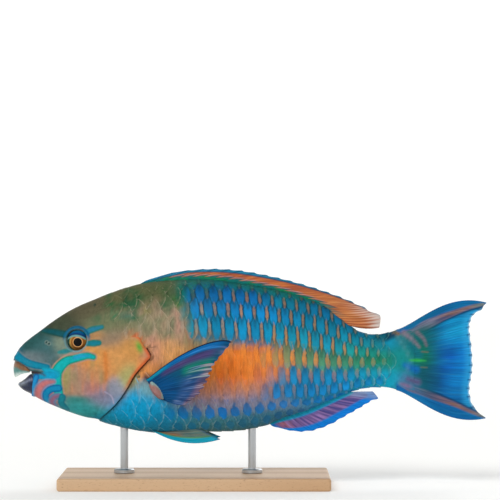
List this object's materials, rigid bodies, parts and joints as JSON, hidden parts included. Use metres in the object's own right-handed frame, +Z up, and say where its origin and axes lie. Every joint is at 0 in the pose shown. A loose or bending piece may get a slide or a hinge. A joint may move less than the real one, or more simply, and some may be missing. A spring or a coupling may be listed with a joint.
{
  "type": "parrotfish",
  "caption": "Life-size still model of a swimming parrotfish with open beak, spread fins and raised rays, held on two short rods over a flat display base.",
  "frame": {"origin": "on the surface that the base rests on, midway between the front of the beak and the tips of the tail fin, in the fish's middle plane", "axes": "+X towards the tail along the fish's length, +Y to the fish's right side, +Z up"},
  "size_m": [0.3003, 0.09, 0.1378],
  "materials": {
    "skin": "painted cast resin, blue scales over orange and olive, satin varnish",
    "beak_upper": "pale turquoise enamel, brown at the root",
    "beak_lower": "dark blue enamel, pale at the tip",
    "eye": "clear domed resin over an orange-brown iris and a black pupil",
    "fin_dorsal": "thin cast resin, orange between blue edges, satin varnish",
    "fin_blue": "thin cast resin, blue with purple streaks along the rays, satin varnish",
    "beech": "fine-sanded, clear matt lacquer",
    "steel": "turned and fine-brushed stainless"
  },
  "bodies": {
    "root": {"head": "skin", "jaw_lower": "skin", "gill_cover_left": "skin", "gill_cover_right": "skin", "trunk": "skin", "tail_stalk": "skin", "beak_upper": "beak_upper", "beak_lower": "beak_lower", "eye_left": "eye", "eye_right": "eye", "fin_dorsal": "fin_dorsal", "fin_anal": "fin_blue", "fin_caudal": "fin_blue", "fin_pectoral_left": "fin_blue", "fin_pectoral_right": "fin_blue", "fin_pelvic_left": "fin_blue", "fin_pelvic_right": "fin_blue", "stand_base": "beech", "stand_rod_front": "steel", "stand_rod_rear": "steel"}
  },
  "joints": []
}
